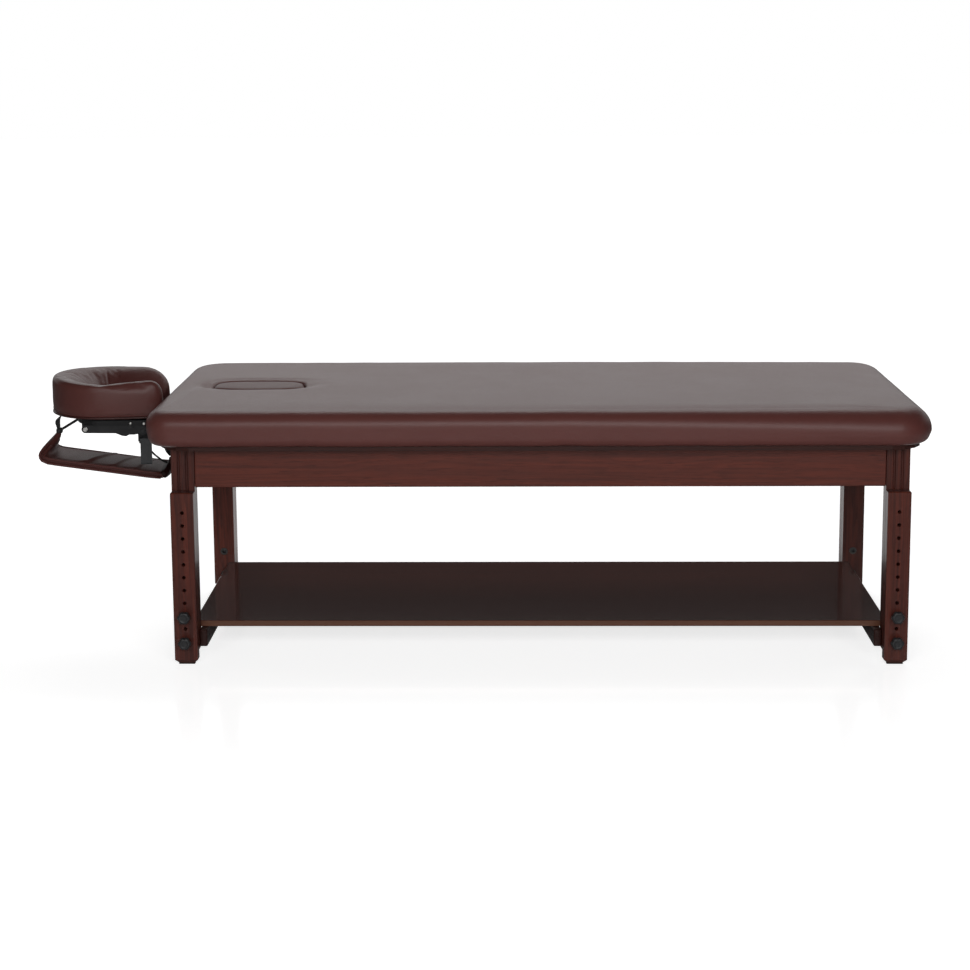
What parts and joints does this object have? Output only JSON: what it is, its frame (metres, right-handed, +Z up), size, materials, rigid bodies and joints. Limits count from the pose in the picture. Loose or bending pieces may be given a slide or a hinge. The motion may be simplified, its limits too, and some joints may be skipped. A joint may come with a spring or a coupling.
{
  "type": "massage table",
  "caption": "Stationary wooden massage table with a padded vinyl top, face hole plug, telescoping legs with clamping knobs, low shelf, tilting face cradle and hanging arm sling.",
  "frame": {"origin": "on the floor, below the middle of the overall box", "axes": "+X along the table toward the foot end (the face cradle is at -X), +Y to the back, +Z up"},
  "size_m": [2.1823, 0.762, 0.6534],
  "materials": {
    "brown_vinyl": "satin grained vinyl",
    "stained_wood": "mahogany stain under gloss lacquer",
    "shelf_plywood": "dark gloss lacquer on plywood",
    "plain_plywood": "plain sanded plywood",
    "black_plastic": "moulded black plastic",
    "black_steel": "black powder coat",
    "zinc_steel": "zinc plated",
    "grey_lever": "dark grey powder coat",
    "rubber": "matt rubber",
    "black_webbing": "woven webbing"
  },
  "bodies": {
    "base": {"foot_pad_foot_front": "rubber", "foot_pad_foot_rear": "rubber", "foot_pad_head_front": "rubber", "foot_pad_head_rear": "rubber", "lower_leg_foot_front": "stained_wood", "lower_leg_foot_rear": "stained_wood", "lower_leg_head_front": "stained_wood", "lower_leg_head_rear": "stained_wood"},
    "table": {"cross_rail_foot": "plain_plywood", "cross_rail_head": "plain_plywood", "foot_rail": "stained_wood", "front_apron": "stained_wood", "head_rail": "stained_wood", "post_guide_block": "plain_plywood", "rear_apron": "stained_wood", "shelf_bar_foot": "stained_wood", "shelf_bar_head": "stained_wood", "shelf_board": "shelf_plywood", "tee_nut_lower_foot_front": "zinc_steel", "tee_nut_lower_foot_rear": "zinc_steel", "tee_nut_lower_head_front": "zinc_steel", "tee_nut_lower_head_rear": "zinc_steel", "tee_nut_upper_foot_front": "zinc_steel", "tee_nut_upper_foot_rear": "zinc_steel", "tee_nut_upper_head_front": "zinc_steel", "tee_nut_upper_head_rear": "zinc_steel", "top_cushion": "brown_vinyl", "top_deck": "plain_plywood", "upper_leg_foot_front": "stained_wood", "upper_leg_foot_rear": "stained_wood", "upper_leg_head_front": "stained_wood", "upper_leg_head_rear": "stained_wood"},
    "knob_lower_foot_front": {"knob_lower_foot_front": "black_plastic"},
    "knob_lower_foot_rear": {"knob_lower_foot_rear": "black_plastic"},
    "knob_lower_head_front": {"knob_lower_head_front": "black_plastic"},
    "knob_lower_head_rear": {"knob_lower_head_rear": "black_plastic"},
    "knob_upper_foot_front": {"knob_upper_foot_front": "black_plastic"},
    "knob_upper_foot_rear": {"knob_upper_foot_rear": "black_plastic"},
    "knob_upper_head_front": {"knob_upper_head_front": "black_plastic"},
    "knob_upper_head_rear": {"knob_upper_head_rear": "black_plastic"},
    "face_plug": {"face_hole_plug": "brown_vinyl"},
    "headrest": {"cradle_base": "black_plastic", "cradle_post_front": "black_steel", "cradle_post_rear": "black_steel", "cradle_pivot_rod": "zinc_steel", "lever_bracket": "black_steel", "lever_pin": "zinc_steel", "sling_strap_front": "black_webbing", "sling_strap_rear": "black_webbing"},
    "cradle_arms": {"cradle_arm_front": "black_steel", "cradle_arm_rear": "black_steel", "cradle_far_pin": "zinc_steel"},
    "cradle_platform_body": {"cradle_platform": "black_plastic", "hook_strip_front": "black_webbing", "hook_strip_rear": "black_webbing", "tilt_plate": "black_steel", "face_cushion": "brown_vinyl", "sling_strap_far": "black_webbing"},
    "lever": {"cam_lever": "grey_lever"},
    "arm_sling": {"sling_panel": "brown_vinyl"}
  },
  "joints": [
    {"name": "height_adjust", "type": "slide", "parent": "base", "child": "table", "axis": [0, 0, 1], "range_m": [0, 0.189]},
    {"name": "knob_lower_foot_front_turn", "type": "hinge", "parent": "table", "child": "knob_lower_foot_front", "pos_m": [1.0125, -0.3273, 0.058], "axis": [0, -1, 0], "continuous": true},
    {"name": "knob_lower_foot_rear_turn", "type": "hinge", "parent": "table", "child": "knob_lower_foot_rear", "pos_m": [1.0125, 0.3273, 0.058], "axis": [0, 1, 0], "continuous": true},
    {"name": "knob_lower_head_front_turn", "type": "hinge", "parent": "table", "child": "knob_lower_head_front", "pos_m": [-0.6775, -0.3273, 0.058], "axis": [0, -1, 0], "continuous": true},
    {"name": "knob_lower_head_rear_turn", "type": "hinge", "parent": "table", "child": "knob_lower_head_rear", "pos_m": [-0.6775, 0.3273, 0.058], "axis": [0, 1, 0], "continuous": true},
    {"name": "knob_upper_foot_front_turn", "type": "hinge", "parent": "table", "child": "knob_upper_foot_front", "pos_m": [1.0125, -0.3273, 0.121], "axis": [0, -1, 0], "continuous": true},
    {"name": "knob_upper_foot_rear_turn", "type": "hinge", "parent": "table", "child": "knob_upper_foot_rear", "pos_m": [1.0125, 0.3273, 0.121], "axis": [0, 1, 0], "continuous": true},
    {"name": "knob_upper_head_front_turn", "type": "hinge", "parent": "table", "child": "knob_upper_head_front", "pos_m": [-0.6775, -0.3273, 0.121], "axis": [0, -1, 0], "continuous": true},
    {"name": "knob_upper_head_rear_turn", "type": "hinge", "parent": "table", "child": "knob_upper_head_rear", "pos_m": [-0.6775, 0.3273, 0.121], "axis": [0, 1, 0], "continuous": true},
    {"name": "plug_lift", "type": "slide", "parent": "table", "child": "face_plug", "axis": [0, 0, 1], "range_m": [0, 0.15]},
    {"name": "headrest_slide", "type": "slide", "parent": "table", "child": "headrest", "axis": [-1, 0, 0], "range_m": [0, 0.1]},
    {"name": "arm_tilt", "type": "hinge", "parent": "headrest", "child": "cradle_arms", "pos_m": [-0.8085, 0, 0.5275], "axis": [0, -1, 0], "range_deg": [0, 15], "deforming": ["sling_strap_far", "sling_strap_front", "sling_strap_rear"]},
    {"name": "platform_tilt", "type": "hinge", "parent": "cradle_arms", "child": "cradle_platform_body", "pos_m": [-0.9517, 0, 0.5315], "axis": [0, -1, 0], "range_deg": [0, 20], "deforming": ["sling_strap_far"]},
    {"name": "cam_lever_swing", "type": "hinge", "parent": "headrest", "child": "lever", "pos_m": [-0.7995, -0.1193, 0.5085], "axis": [-1, 0, 0], "range_deg": [0, 80]},
    {"name": "sling_swing", "type": "hinge", "parent": "headrest", "child": "arm_sling", "pos_m": [-0.764, 0, 0.4435], "axis": [0, -1, 0], "range_deg": [0, 12.14]}
  ],
  "couplings": [
    {"joint": "sling_swing", "follows": "arm_tilt", "ratio": 0.809}
  ]
}
